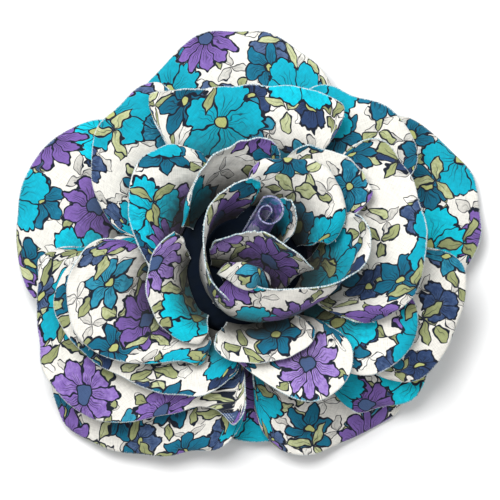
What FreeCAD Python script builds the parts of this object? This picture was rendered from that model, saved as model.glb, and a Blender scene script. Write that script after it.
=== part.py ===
"""A flower lapel pin: a rose of stiffened cloth petals on a felt back with a brooch bar.

Millimetres. +Z points out of the face of the flower, +Y is up as it is worn, and the
origin is under the middle of the flower, on the surface that it lies on.
"""
import math
import os

import FreeCAD
import Part

# Wall of the stiffened cloth, the step from one layer to the next at their feet, and
# the gaps that part the pieces. The leaning bud needs more room at its feet.
WALL = 1.0
LAYER_PITCH = 1.45
GAP = 0.3
BUD_FOOT_GAP = 1.0

# Cells of a petal's grid across its width and along its length
CELLS_ACROSS = 12
CELLS_ALONG = 5
STEPS_PER_CELL = 4
SEWING_TOLERANCE = 0.0001

# Layers are counted outwards from the bud, where layer 0 starts at the first radius.
FIRST_RADIUS = 3.4
FIRST_LAYER = -1.0
LAST_LAYER = 13.6
LAYER_STEP = 0.1
LAST_BUD_LAYER = 10.0

# The cloth changes its slope over this length from its foot, in every layer.
BEND_LENGTH = 40.0

# Slope of the cloth above level at its foot and after the bend length, in degrees.
SLOPES = [
    # layer, at the foot, after the bend
    (FIRST_LAYER, 94, 92),
    (1.0, 92, 84),
    (3.0, 82, 56),
    (5.0, 58, 12),
    (7.0, 37, -6),
    (9.0, 22, -16),
    (11.0, 9, -28),
    (12.5, 0, -38),
    (14.0, -6, -46),
]

# The petals' feet stand round this point, left of and below the middle of the flower.
FOOT_X = -2.0
FOOT_Y = -4.0

# The bud leans up and to the right above this height, as far as this at its tip.
LEAN_FROM = 14.0
LEAN_TO = 36.0
LEAN_X = 6.0
LEAN_Y = 10.0

# Waves that run around all the layers: count around, height at the rim, turn in degrees.
WAVES = [
    (3, 1.3, 40),
    (5, 1.0, 115),
    (8, 0.5, 10),
]
WAVE_FROM = 14.0
WAVE_REACH = 36.0

# A petal's side edges are this share of its length, and its foot this share of its width.
SHOULDER = 0.62
SHOULDER_POWER = 6
FOOT_WIDTH = 0.8
FULL_WIDTH_AT = 0.6
ROLL_FROM = 0.6

# The stations across a petal at which its table row gives the length of the cloth.
STATIONS = [-0.9, -0.45, 0.0, 0.45, 0.9]

# One row for each petal. Azimuth and half width in degrees, the layer at its right side,
# middle and left side seen from the bud, how far its right and left sides turn up along
# their length in degrees, roll of the rim in degrees, and the length of the cloth from
# its foot at the five stations.
PETALS = [
    # name, azimuth, half width, layers, turn up, roll, lengths
    ("petal_outer_top", 92, 34, (12.4, 12.4, 12.4), (0, 0), 0, (28, 31, 33, 29.5, 25.5)),
    ("petal_outer_right", 16, 30, (12.3, 12.3, 12.3), (0, 0), 0, (31.5, 33.5, 36.5, 34.5, 32)),
    ("petal_outer_low_right", -18, 22, (10.2, 10.2, 10.2), (0, 0), 0, (27.5, 30, 31, 31.5, 31)),
    ("petal_outer_right_foot", -36, 18, (11.4, 11.4, 11.4), (0, 0), 0, (26.5, 27.5, 30, 28.5, 28.5)),
    ("petal_outer_bottom", -58, 25, (12.6, 12.6, 12.6), (0, 0), 0, (24, 27, 28.5, 30, 29)),
    ("petal_outer_bottom_left", -85, 22, (13.6, 13.6, 13.6), (0, 0), 0, (21.5, 21.5, 22, 23.5, 25.5)),
    ("petal_outer_left_foot", -122, 34, (12.2, 12.2, 12.2), (0, 0), 0, (27, 34, 31, 26, 23)),
    ("petal_outer_low_left", -136, 49, (10.8, 10.9, 11.0), (0, 0), 0, (29, 28.5, 29, 18.5, 20.5)),
    ("petal_outer_left", 162, 34, (12.2, 12.2, 12.2), (0, 0), 0, (25, 30.5, 32, 30.5, 29)),
    ("petal_middle_up_left", 139, 28, (10.0, 10.0, 10.0), (0, 0), 0, (27.5, 25, 23.5, 19, 14)),
    ("petal_middle_up_right", 47, 23, (10.2, 10.2, 10.2), (0, 0), 0, (26.5, 28.5, 27.5, 25.5, 25.5)),
    ("petal_middle_top", 89, 37, (8.6, 8.6, 8.6), (0, 0), 0, (24, 20.5, 19.5, 20, 25.5)),
    ("petal_middle_right", 5, 39, (8.2, 8.2, 8.2), (0, 0), 0, (19, 22, 22, 22, 23)),
    ("petal_middle_low_right", -30, 20, (9.3, 9.3, 9.3), (0, 0), 0, (18.5, 22.5, 24, 23.5, 21.5)),
    ("petal_middle_bottom", -70, 30, (8.6, 8.6, 8.5), (0, 0), 0, (8, 12, 19, 20.5, 18.5)),
    ("petal_middle_low_left", -140, 50, (9.1, 9.7, 10.1), (0, 0), 0, (14.5, 24.5, 20.5, 16, 11)),
    ("petal_cup_left", 150, 34, (7.2, 7.0, 6.6), (0, 0), 10, (10, 13, 13.5, 12, 10)),
    ("petal_cup_outer_left", -145, 36, (7.6, 8.4, 8.9), (0, 0), 0, (24, 26, 24, 15.5, 11.5)),
    ("petal_cup_low_left", -148, 34, (5.4, 6.6, 8.0), (0, 0), 10, (10, 13, 14.5, 12.5, 9)),
    ("petal_cup_bottom", -78, 30, (7.7, 7.7, 7.7), (0, 0), 0, (8, 8.5, 9, 9, 9)),
    ("petal_cup_right", 40, 26, (7.0, 7.0, 7.0), (0, 0), 0, (14, 14.5, 13.5, 12, 11)),
    ("petal_bud_folded", -102, 15, (2.7, 2.7, 2.7), (0, 0), 130, (11, 14.5, 18, 14.5, 11)),
    ("petal_bud_low_right", -47, 56, (6.8, 6.8, 6.8), (145, 40), 0, (10, 14, 17.5, 17, 15)),
    ("petal_bud_top", 118, 46, (6.2, 5.9, 5.6), (40, 40), 0, (8, 8, 8, 8, 8)),
    ("petal_bud_low_left", 172, 82, (2.0, 4.0, 7.2), (0, 30), 15, (10, 10, 9.5, 7.5, 6)),
    ("petal_bud_front", -105, 62, (2.9, 0.6, 4.2), (0, 0), 0, (9, 11, 12, 13.5, 14)),
    ("petal_bud_right", 45, 50, (4.6, 4.3, 4.0), (0, 0), 95, (12.5, 12.5, 12, 10.5, 9)),
    ("petal_bud_inner", 10, 46, (1.6, 1.4, 1.6), (0, 0), 0, (9, 11, 12, 11, 9)),
]

# Rolled strip in the middle of the bud. It starts this far from its own middle.
SCROLL_TURNS = 1.3
SCROLL_INNER = 1.0
SCROLL_PITCH = 1.35
SCROLL_COLUMNS = 22
SCROLL_ROWS = 4
SCROLL_HEIGHT = 12.5

# Core, felt back and brooch bar
CORE_SIDES = 28
CORE_ROWS = 12
FELT_RADIUS = 16.5
FELT_THICKNESS = 1.5
BAR_LENGTH = 30.0
BAR_WIDTH = 5.0
PLATE_THICKNESS = 0.8
STEM_RADIUS = 0.55
CLOTH_GAP = 4.4
POST_THICKNESS = 1.6
POST_WIDTH = 3.0
BAR_HEIGHT = PLATE_THICKNESS + CLOTH_GAP + 2 * STEM_RADIUS
FELT_BOTTOM = BAR_HEIGHT + GAP
FELT_TOP = FELT_BOTTOM + FELT_THICKNESS


def smooth(value):
    """Rise from 0 to 1 with level ends."""
    value = min(max(value, 0.0), 1.0)
    return value * value * (3 - 2 * value)


def between(rows, value, column):
    """Read a column of a table at a value of its first column."""
    for low, high in zip(rows, rows[1:]):
        if value <= high[0]:
            share = (value - low[0]) / (high[0] - low[0])
            return low[column] + share * (high[column] - low[column])
    return rows[-1][column]


def foot_path():
    """Place the foot of each layer square to the cloth, from the last layer inwards."""
    count = round((LAST_LAYER - FIRST_LAYER) / LAYER_STEP)
    radius, height, path = 0.0, 0.0, []
    for index in range(count + 1):
        layer = FIRST_LAYER + index * LAYER_STEP
        path.append((layer, radius, height))
        slope = math.radians(between(SLOPES, layer + LAYER_STEP / 2, 1))
        radius += LAYER_PITCH * LAYER_STEP * math.sin(slope)
        height -= LAYER_PITCH * LAYER_STEP * math.cos(slope)
    first = between(path, 0.0, 1)
    lowest = path[-1][2]
    lift = FELT_TOP + GAP + WALL / 2
    return [(t, r - first + FIRST_RADIUS, z - lowest + lift) for t, r, z in path]


FEET = foot_path()


def length_at(lengths, across):
    """Read a petal's length across its width, with rounded shoulders at the sides."""
    rows = list(zip(STATIONS, lengths))
    inner = min(max(across, STATIONS[0]), STATIONS[-1])
    total = 0.0
    for index, (station, length) in enumerate(rows):
        weight = 1.0
        for other, (place, _) in enumerate(rows):
            if other != index:
                weight *= (inner - place) / (station - place)
        total += weight * length
    rounding = math.sqrt(max(0.0, 1 - abs(across) ** SHOULDER_POWER))
    return total * (SHOULDER + (1 - SHOULDER) * rounding)


def warp(radius, angle, height):
    """Add the waves and the lean of the bud, and return a point."""
    reach = max(0.0, (radius - WAVE_FROM) / WAVE_REACH)
    for count, rise, turn in WAVES:
        height += rise * reach ** 2 * math.sin(count * angle + math.radians(turn))
    lean = smooth((height - LEAN_FROM) / (LEAN_TO - LEAN_FROM))
    x = FOOT_X + radius * math.cos(angle) + LEAN_X * lean
    y = FOOT_Y + radius * math.sin(angle) + LEAN_Y * lean
    return FreeCAD.Vector(x, y, height)


def petal_column(petal, across):
    """Follow the cloth from its foot to its rim at one place across its width."""
    name, azimuth, half, layers, turn_up, roll, lengths = petal
    first, middle, last = layers
    own_layer = middle + (last - first) / 2 * across
    own_layer += ((first + last) / 2 - middle) * across ** 2
    turned = math.radians(turn_up[0] + (turn_up[1] - turn_up[0]) * (across + 1) / 2)
    length = length_at(lengths, across)
    foot = math.radians(between(SLOPES, own_layer, 1))
    far = math.radians(between(SLOPES, own_layer, 2))
    radius, height = between(FEET, own_layer, 1), between(FEET, own_layer, 2)
    steps = CELLS_ALONG * STEPS_PER_CELL
    points = []
    for step in range(steps + 1):
        along = step / steps
        if step % STEPS_PER_CELL == 0:
            width = FOOT_WIDTH + (1 - FOOT_WIDTH) * smooth(along / FULL_WIDTH_AT)
            angle = math.radians(azimuth + half * across * width)
            points.append(warp(radius, angle, height))
        halfway = along + 0.5 / steps
        bent = min(halfway * length / BEND_LENGTH, 1.0)
        slope = foot + (far - foot) * bent + turned * smooth(halfway)
        slope -= math.radians(roll) * smooth((halfway - ROLL_FROM) / (1 - ROLL_FROM))
        radius += math.cos(slope) * length / steps
        height += math.sin(slope) * length / steps
    return points


def petal_grid(petal):
    """Lay out a petal's middle surface, column by column across its width."""
    columns = []
    for column in range(CELLS_ACROSS + 1):
        across = math.sin(math.pi / 2 * (2 * column / CELLS_ACROSS - 1))
        columns.append(petal_column(petal, across))
    return columns


def thicken(grid, thickness):
    """Offset a grid of points to both sides, square to the surface."""
    over, under = [], []
    for i, column in enumerate(grid):
        before, after = grid[max(i - 1, 0)], grid[min(i + 1, len(grid) - 1)]
        upper, lower = [], []
        for j, point in enumerate(column):
            along = column[min(j + 1, len(column) - 1)] - column[max(j - 1, 0)]
            normal = along.cross(after[j] - before[j])
            normal.normalize()
            upper.append(point + normal * (thickness / 2))
            lower.append(point - normal * (thickness / 2))
        over.append(upper)
        under.append(lower)
    return over, under


def solid_from(points, facets):
    """Make a closed solid of flat triangles."""
    shape = Part.Shape()
    shape.makeShapeFromMesh((points, facets), SEWING_TOLERANCE)
    solid = Part.Solid(shape.Shells[0])
    if solid.Volume < 0:
        solid.reverse()
    return solid


def sheet_solid(grid, thickness):
    """Close a grid of points into a sheet of even thickness."""
    over, under = thicken(grid, thickness)
    columns, rows = len(grid), len(grid[0])
    points = [p for column in over for p in column] + [p for column in under for p in column]
    under_start = columns * rows

    def number(column, row, side):
        return side * under_start + column * rows + row

    facets = []
    for i in range(columns - 1):
        for j in range(rows - 1):
            a, b = number(i, j, 0), number(i + 1, j, 0)
            c, d = number(i + 1, j + 1, 0), number(i, j + 1, 0)
            facets += [(a, b, c), (a, c, d)]
            a, b, c, d = (n + under_start for n in (a, b, c, d))
            facets += [(a, c, b), (a, d, c)]
    rim = [(i, 0) for i in range(columns)]
    rim += [(columns - 1, j) for j in range(1, rows)]
    rim += [(i, rows - 1) for i in range(columns - 2, -1, -1)]
    rim += [(0, j) for j in range(rows - 2, 0, -1)]
    for (i, j), (k, m) in zip(rim, rim[1:] + rim[:1]):
        a, b, c, d = number(i, j, 0), number(k, m, 0), number(k, m, 1), number(i, j, 1)
        facets += [(a, c, b), (a, d, c)]
    return solid_from(points, facets)


def scroll_grid(bottom):
    """Lay out the rolled strip that stands in the middle of the bud."""
    columns = []
    for column in range(SCROLL_COLUMNS + 1):
        turn = SCROLL_TURNS * column / SCROLL_COLUMNS
        radius = SCROLL_INNER + SCROLL_PITCH * turn
        angle = 2 * math.pi * turn
        heights = [SCROLL_HEIGHT * row / SCROLL_ROWS for row in range(SCROLL_ROWS + 1)]
        columns.append([warp(radius, angle, bottom + height) for height in heights])
    return columns


def core_outline():
    """Follow the petals' feet a gap inside them, from the top down to the felt."""
    outline = []
    for row in range(CORE_ROWS + 1):
        layer = FIRST_LAYER + (LAST_LAYER - FIRST_LAYER) * row / CORE_ROWS
        slope = math.radians(between(SLOPES, layer, 1))
        gap = BUD_FOOT_GAP - (BUD_FOOT_GAP - GAP) * smooth(layer / LAST_BUD_LAYER)
        radius = between(FEET, layer, 1) - gap * math.cos(slope)
        height = between(FEET, layer, 2) - gap * math.sin(slope)
        outline.append((radius, height))
    outline.append((outline[-1][0], FELT_TOP + GAP))
    return outline


def flower_core():
    """Turn the core's outline round the middle and close it with two flat ends."""
    outline = core_outline()
    turns = [2 * math.pi * side / CORE_SIDES for side in range(CORE_SIDES)]
    points = [warp(radius, turn, height) for radius, height in outline for turn in turns]
    points.append(warp(0, 0, outline[0][1]))
    points.append(warp(0, 0, outline[-1][1]))
    top, bottom = len(points) - 2, len(points) - 1
    last = (len(outline) - 1) * CORE_SIDES
    facets = []
    for side in range(CORE_SIDES):
        after = (side + 1) % CORE_SIDES
        facets.append((top, side, after))
        facets.append((bottom, last + after, last + side))
        for row in range(len(outline) - 1):
            a, b = row * CORE_SIDES + side, row * CORE_SIDES + after
            c, d = b + CORE_SIDES, a + CORE_SIDES
            facets += [(a, d, c), (a, c, b)]
    return solid_from(points, facets)


def felt_back():
    """Make the plain round felt disc behind the petals."""
    middle = FreeCAD.Vector(FOOT_X, FOOT_Y, FELT_BOTTOM)
    return Part.makeCylinder(FELT_RADIUS, FELT_THICKNESS, middle)


def brooch_bar():
    """Make the bar as one piece: plate, two end posts and the pin stem between them."""
    left, right = FOOT_X - BAR_LENGTH / 2, FOOT_X + BAR_LENGTH / 2
    corner = FreeCAD.Vector(left, FOOT_Y - BAR_WIDTH / 2, BAR_HEIGHT - PLATE_THICKNESS)
    bar = Part.makeBox(BAR_LENGTH, BAR_WIDTH, PLATE_THICKNESS, corner)
    for edge in (left, right - POST_THICKNESS):
        corner = FreeCAD.Vector(edge, FOOT_Y - POST_WIDTH / 2, 0)
        bar = bar.fuse(Part.makeBox(POST_THICKNESS, POST_WIDTH, BAR_HEIGHT, corner))
    start = FreeCAD.Vector(left + POST_THICKNESS / 2, FOOT_Y, STEM_RADIUS)
    stem = Part.makeCylinder(
        STEM_RADIUS, BAR_LENGTH - POST_THICKNESS, start, FreeCAD.Vector(1, 0, 0)
    )
    return bar.fuse(stem).removeSplitter()


def main():
    """Build every piece and write one file for each."""
    os.makedirs("parts", exist_ok=True)
    pieces = {petal[0]: sheet_solid(petal_grid(petal), WALL) for petal in PETALS}
    core_top = core_outline()[0][1]
    pieces["bud_scroll"] = sheet_solid(scroll_grid(core_top + BUD_FOOT_GAP), WALL)
    pieces["flower_core"] = flower_core()
    pieces["felt_back"] = felt_back()
    pieces["brooch_bar"] = brooch_bar()
    for name, shape in pieces.items():
        shape.exportStep(f"parts/{name}.step")


main()
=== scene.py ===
"""Dress the flower lapel pin: printed cotton petals, felt back, brooch bar and a pale stage.

The petal table is in millimetres and degrees, as in the part's source. Everything in
Blender is in metres, in the same frame as the part.
"""
import math
import random

import bpy
import numpy as np
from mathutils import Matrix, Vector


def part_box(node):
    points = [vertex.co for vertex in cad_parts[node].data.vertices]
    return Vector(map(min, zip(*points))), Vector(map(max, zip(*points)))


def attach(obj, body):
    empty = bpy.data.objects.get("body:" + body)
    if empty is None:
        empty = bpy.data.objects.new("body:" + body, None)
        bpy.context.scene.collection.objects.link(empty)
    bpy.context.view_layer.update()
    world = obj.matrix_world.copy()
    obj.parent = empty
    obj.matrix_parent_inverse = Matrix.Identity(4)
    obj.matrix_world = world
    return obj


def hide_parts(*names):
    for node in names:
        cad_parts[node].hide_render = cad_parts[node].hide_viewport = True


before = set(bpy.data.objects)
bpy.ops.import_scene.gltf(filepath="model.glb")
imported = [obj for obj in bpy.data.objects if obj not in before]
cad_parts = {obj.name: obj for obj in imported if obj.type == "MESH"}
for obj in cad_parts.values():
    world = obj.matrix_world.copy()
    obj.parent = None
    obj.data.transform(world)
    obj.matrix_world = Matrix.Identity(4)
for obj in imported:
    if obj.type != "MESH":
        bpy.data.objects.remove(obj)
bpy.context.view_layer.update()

bl_info = {
    "name": "Flower lapel pin",
    "version": (1, 0, 0),
    "blender": (4, 5, 0),
    "location": "View3D > Sidebar > Flower pin",
    "description": "Builds a rose of printed cotton petals on a felt back with a brooch bar",
    "category": "Object",
}

MM = 0.001
BODY = "root"

COLLECTION = "Flower pin"

# Layers of cloth, as in the part's source
WALL = 1.0
LAYER_PITCH = 1.45
GAP = 0.3
BUD_FOOT_GAP = 1.0
FIRST_RADIUS = 3.4
FIRST_LAYER = -1.0
LAST_LAYER = 13.6
LAYER_STEP = 0.1
LAST_BUD_LAYER = 10.0
BEND_LENGTH = 40.0

# Slope of the cloth above level at its foot and after the bend length, in degrees
SLOPES = np.array(
    [
        # layer, at the foot, after the bend
        (FIRST_LAYER, 94, 92),
        (1.0, 92, 84),
        (3.0, 82, 56),
        (5.0, 58, 12),
        (7.0, 37, -6),
        (9.0, 22, -16),
        (11.0, 9, -28),
        (12.5, 0, -38),
        (14.0, -6, -46),
    ]
)

# Middle of the petals' feet, the lean of the bud, and the waves around the layers
FOOT_X = -2.0
FOOT_Y = -4.0
LEAN_FROM = 14.0
LEAN_TO = 36.0
LEAN_X = 6.0
LEAN_Y = 10.0
WAVES = [
    # count around, height at the rim, turn in degrees
    (3, 1.3, 40),
    (5, 1.0, 115),
    (8, 0.5, 10),
]
WAVE_FROM = 14.0
WAVE_REACH = 36.0

# Rounding of a petal's shoulders, and its width at the foot
SHOULDER = 0.62
SHOULDER_POWER = 6
FOOT_WIDTH = 0.8
FULL_WIDTH_AT = 0.6
ROLL_FROM = 0.6

# Places across a petal at which its row gives the length of the cloth
STATIONS = [-0.9, -0.45, 0.0, 0.45, 0.9]

OUTER_PETALS = [
    # name, azimuth, half width, layers, turn up, roll, lengths
    ("petal_outer_top", 92, 34, (12.4, 12.4, 12.4), (0, 0), 0, (28, 31, 33, 29.5, 25.5)),
    ("petal_outer_right", 16, 30, (12.3, 12.3, 12.3), (0, 0), 0, (31.5, 33.5, 36.5, 34.5, 32)),
    ("petal_outer_low_right", -18, 22, (10.2, 10.2, 10.2), (0, 0), 0, (27.5, 30, 31, 31.5, 31)),
    ("petal_outer_right_foot", -36, 18, (11.4, 11.4, 11.4), (0, 0), 0,
     (26.5, 27.5, 30, 28.5, 28.5)),
    ("petal_outer_bottom", -58, 25, (12.6, 12.6, 12.6), (0, 0), 0, (24, 27, 28.5, 30, 29)),
    ("petal_outer_bottom_left", -85, 22, (13.6, 13.6, 13.6), (0, 0), 0,
     (21.5, 21.5, 22, 23.5, 25.5)),
    ("petal_outer_left_foot", -122, 34, (12.2, 12.2, 12.2), (0, 0), 0, (27, 34, 31, 26, 23)),
    ("petal_outer_low_left", -136, 49, (10.8, 10.9, 11.0), (0, 0), 0, (29, 28.5, 29, 18.5, 20.5)),
    ("petal_outer_left", 162, 34, (12.2, 12.2, 12.2), (0, 0), 0, (25, 30.5, 32, 30.5, 29)),
]
MIDDLE_PETALS = [
    # name, azimuth, half width, layers, turn up, roll, lengths
    ("petal_middle_up_left", 139, 28, (10.0, 10.0, 10.0), (0, 0), 0, (27.5, 25, 23.5, 19, 14)),
    ("petal_middle_up_right", 47, 23, (10.2, 10.2, 10.2), (0, 0), 0,
     (26.5, 28.5, 27.5, 25.5, 25.5)),
    ("petal_middle_top", 89, 37, (8.6, 8.6, 8.6), (0, 0), 0, (24, 20.5, 19.5, 20, 25.5)),
    ("petal_middle_right", 5, 39, (8.2, 8.2, 8.2), (0, 0), 0, (19, 22, 22, 22, 23)),
    ("petal_middle_low_right", -30, 20, (9.3, 9.3, 9.3), (0, 0), 0, (18.5, 22.5, 24, 23.5, 21.5)),
    ("petal_middle_bottom", -70, 30, (8.6, 8.6, 8.5), (0, 0), 0, (8, 12, 19, 20.5, 18.5)),
    ("petal_middle_low_left", -140, 50, (9.1, 9.7, 10.1), (0, 0), 0, (14.5, 24.5, 20.5, 16, 11)),
]
CUP_PETALS = [
    # name, azimuth, half width, layers, turn up, roll, lengths
    ("petal_cup_left", 157, 43, (7.2, 7.0, 6.6), (0, 0), 20, (11, 15, 15.5, 12.5, 11)),
    ("petal_cup_outer_left", -145, 36, (7.6, 8.4, 8.9), (0, 0), 0, (24, 26, 24, 15.5, 11.5)),
    ("petal_cup_low_left", -148, 34, (5.4, 6.6, 8.0), (0, 0), 20, (10, 13, 14.5, 12.5, 9)),
    ("petal_cup_bottom", -78, 30, (7.7, 7.7, 7.7), (0, 0), 0, (10.5, 11, 11, 11, 11)),
    ("petal_cup_right", 40, 26, (7.0, 7.0, 7.0), (0, 0), 0, (14, 14.5, 13.5, 12, 11)),
]
BUD_PETALS = [
    # name, azimuth, half width, layers, turn up, roll, lengths
    ("petal_bud_folded", -106, 25, (3.1, 3.1, 3.1), (0, 0), 150, (12, 16.5, 20, 16.5, 12)),
    ("petal_bud_low_right", -56, 66, (6.0, 6.6, 6.8), (110, 40), 0, (12, 15, 17.5, 17, 15)),
    ("petal_bud_top", 118, 46, (6.2, 5.9, 5.6), (40, 40), 0, (11, 11, 11, 11, 11)),
    ("petal_bud_low_left", 172, 82, (2.0, 3.3, 5.6), (0, 30), 30, (10.5, 10.8, 10.8, 10.4, 9)),
    ("petal_bud_front", -105, 62, (2.9, 0.6, 4.2), (0, 0), 0, (9, 11, 12, 13.5, 14)),
    ("petal_bud_right", 45, 50, (4.6, 4.3, 4.0), (0, 0), 95, (12.5, 12.5, 12, 10.5, 9)),
    ("petal_bud_inner", 10, 46, (1.6, 1.4, 1.6), (0, 0), 0, (9, 11, 12, 11, 9)),
]

# Rolled strip in the middle of the bud
SCROLL_TURNS = 1.3
SCROLL_INNER = 1.0
SCROLL_PITCH = 1.35
SCROLL_HEIGHT = 12.5
SCROLL_ROWS = 29
SCROLL_DYE = 0.8

# Rings and sides of the core, and the depth of its pleats
CORE_RINGS = 61
CORE_SIDES = 96
PLEAT_DEPTH = 0.2

# Felt back and brooch bar
FELT_RADIUS = 16.5
FELT_THICKNESS = 1.5
BAR_HEIGHT = 6.3
FELT_BOTTOM = BAR_HEIGHT + GAP
FELT_TOP = FELT_BOTTOM + FELT_THICKNESS
FELT_SIDES = 144
FELT_WAVE = 0.12
FELT_CORNER = 0.4
FELT_TRIM = 0.15
FELT_INSETS = [FELT_RADIUS * 0.8, FELT_RADIUS * 0.4, 3.0, 1.0]
FELT_SEED = 5

# Wrinkles of the cloth and the curl of its rims
BROAD_WRINKLE = 9.0
FINE_WRINKLE = 3.5
BROAD_SHARE = 0.7
FINE_SHARE = 0.3
CURL_WAVE = 16.0
CURL_BIAS = 0.1
CURL_REACH = 2.6
RIM_WAVER = 0.25
RIM_WAVER_LENGTH = 14.0

# Frayed threads start this far inside the rim and leave a share of the sides at the foot bare.
THREAD_INSET = 0.1
BARE_FOOT_SHARE = 6

# Cloth under the first height is bent up so that it stays over the second
FLOOR_BEND = 1.3
FLOOR_GAP = 0.65

# The print: each motif's colour, then its numbers in this order, in millimetres and radians
MOTIF_NUMBERS = [
    "Turn",
    "Shift",
    "Cell",
    "Jitter",
    "Share",
    "Count",
    "Reach",
    "Half length",
    "Half width",
    "Pointed",
    "Scallop",
    "Heart",
    "Line",
]
MOTIFS = [
    ("ground", 0.9, 29, 8.0, 0.4, 0.9, 3, 1.9, 1.8, 0.85, 0.9, 0.0, 0.0, 0.15),
    ("sage", 0.3, 11, 11.0, 0.3, 0.75, 2, 2.0, 1.9, 0.95, 1.0, 0.0, 0.0, 0.28),
    ("navy", 0.7, 23, 12.5, 0.25, 0.5, 5, 2.1, 1.9, 1.55, 0.0, 0.15, 0.8, 0.3),
    ("sage", 1.1, 57, 12.0, 0.3, 0.6, 3, 2.2, 2.0, 1.0, 0.9, 0.0, 0.0, 0.28),
    ("teal", 1.9, 91, 13.5, 0.2, 0.7, 6, 3.0, 2.5, 1.5, 0.65, 0.0, 1.0, 0.32),
    ("purple", 0.5, 37, 19.0, 0.15, 0.3, 9, 4.3, 2.9, 1.6, 0.1, 0.12, 1.8, 0.3),
    ("turquoise", 1.4, 71, 20.0, 0.15, 0.55, 5, 4.4, 3.6, 3.3, 0.0, 0.5, 1.5, 0.36),
    ("sage", 2.3, 83, 13.0, 0.35, 0.45, 3, 2.9, 2.8, 1.1, 1.0, 0.0, 0.0, 0.32),
    ("purple", 1.0, 137, 23.0, 0.2, 0.4, 11, 4.4, 2.9, 1.3, 0.3, 0.1, 1.7, 0.3),
]
HEART = (0.42, 0.45, 0.16, 1.0)
PURPLE_HEART = (0.05, 0.09, 0.2, 1.0)
# Painted shade: near black mixed into the cloth near the petals' feet, standing in for the shade
# in the crevices
PAINTED_FOOT_SHADE = (0.02, 0.02, 0.016, 1.0)
WORN = (0.72, 0.78, 0.79, 1.0)
THREAD_PITCH = 0.26

# Finer grid for the cloth than the part's
CLOTH_COLUMNS = 73
CLOTH_ROWS = 57

# The camera looks straight down on this point from this height and sees this width.
VIEW_X = 0.3
VIEW_Y = -1.8
VIEW_HEIGHT = 1.6
VIEW_WIDTH = 0.1
SENSOR_WIDTH = 36.0

# Half of the paper's side, in metres, and the light from all round
FLOOR_HALF = 1.5
ROOM_LIGHT = 0.38
LIGHTS = [
    # name, place in metres, size in metres, power in watts
    ("overhead_light", (-0.25, 0.45, 1.0), 0.6, 13.5),
    ("side_light", (0.4, -0.2, 1.0), 0.8, 2.5),
]


def length_value(name, description, default, least, most):
    """Describe one length of the part, in metres."""
    return bpy.props.FloatProperty(
        name=name,
        description=description,
        default=default,
        min=least,
        max=most,
        subtype="DISTANCE",
        unit="LENGTH",
    )


def colour_value(name, description, default):
    """Describe one colour of the part."""
    return bpy.props.FloatVectorProperty(
        name=name,
        description=description,
        subtype="COLOR",
        size=4,
        min=0.0,
        max=1.0,
        default=default,
    )


class FlowerPinSizes(bpy.types.PropertyGroup):
    """Sizes of the cloth and its threads"""

    cloth_thickness: length_value(
        "Cloth thickness", "Thickness of the stiffened cotton", 0.00026, 0.0001, 0.001
    )
    wrinkle_height: length_value(
        "Wrinkle height", "Height of the soft wrinkles in the petals", 0.00022, 0.0, 0.0005
    )
    rim_curl: length_value(
        "Rim curl", "How far the cut rims curl out of the cloth", 0.0007, 0.0, 0.002
    )
    thread_length: length_value(
        "Thread length", "Length of the longest frayed threads", 0.0005, 0.0001, 0.003
    )
    thread_spacing: length_value(
        "Thread spacing", "Distance between frayed threads along a cut rim", 0.00042, 0.0001, 0.003
    )
    thread_radius: length_value(
        "Thread radius", "Radius of a frayed thread", 0.00004, 0.00001, 0.0002
    )


class FlowerPinColours(bpy.types.PropertyGroup):
    """Colours of the print, the felt and the metal"""

    ground: colour_value("Ground", "Unprinted cotton", (0.79, 0.77, 0.71, 1.0))
    turquoise: colour_value("Turquoise", "Large blossoms", (0.0, 0.46, 0.62, 1.0))
    teal: colour_value("Teal", "Star blossoms", (0.005, 0.17, 0.29, 1.0))
    navy: colour_value("Navy", "Small blossoms", (0.025, 0.055, 0.15, 1.0))
    purple: colour_value("Purple", "Rosettes", (0.23, 0.13, 0.46, 1.0))
    sage: colour_value("Sage", "Leaves", (0.40, 0.44, 0.20, 1.0))
    outline: colour_value("Outline", "Drawn lines round the motifs", (0.006, 0.01, 0.022, 1.0))
    felt: colour_value("Felt", "Felt back", (0.75, 0.74, 0.68, 1.0))
    metal: colour_value("Metal", "Brooch bar", (0.62, 0.62, 0.60, 1.0))


def smooth(value):
    """Rise from 0 to 1 with level ends."""
    value = np.clip(value, 0.0, 1.0)
    return value * value * (3 - 2 * value)


def foot_path():
    """Place the foot of each layer square to the cloth, from the last layer inwards."""
    count = round((LAST_LAYER - FIRST_LAYER) / LAYER_STEP)
    radius, height, path = 0.0, 0.0, []
    for index in range(count + 1):
        layer = FIRST_LAYER + index * LAYER_STEP
        path.append((layer, radius, height))
        slope = math.radians(np.interp(layer + LAYER_STEP / 2, SLOPES[:, 0], SLOPES[:, 1]))
        radius += LAYER_PITCH * LAYER_STEP * math.sin(slope)
        height -= LAYER_PITCH * LAYER_STEP * math.cos(slope)
    path = np.array(path)
    path[:, 1] += FIRST_RADIUS - np.interp(0.0, path[:, 0], path[:, 1])
    path[:, 2] += FELT_TOP + GAP + WALL / 2 - path[-1, 2]
    return path


FEET = foot_path()


def length_at(lengths, across):
    """Read a petal's length across its width, with rounded shoulders at the sides."""
    inner = np.clip(across, STATIONS[0], STATIONS[-1])
    total = np.zeros_like(across)
    for index, (station, length) in enumerate(zip(STATIONS, lengths)):
        weight = np.ones_like(across)
        for other, place in enumerate(STATIONS):
            if other != index:
                weight *= (inner - place) / (station - place)
        total += weight * length
    rounding = np.sqrt(np.maximum(0.0, 1 - np.abs(across) ** SHOULDER_POWER))
    return total * (SHOULDER + (1 - SHOULDER) * rounding)


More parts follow.
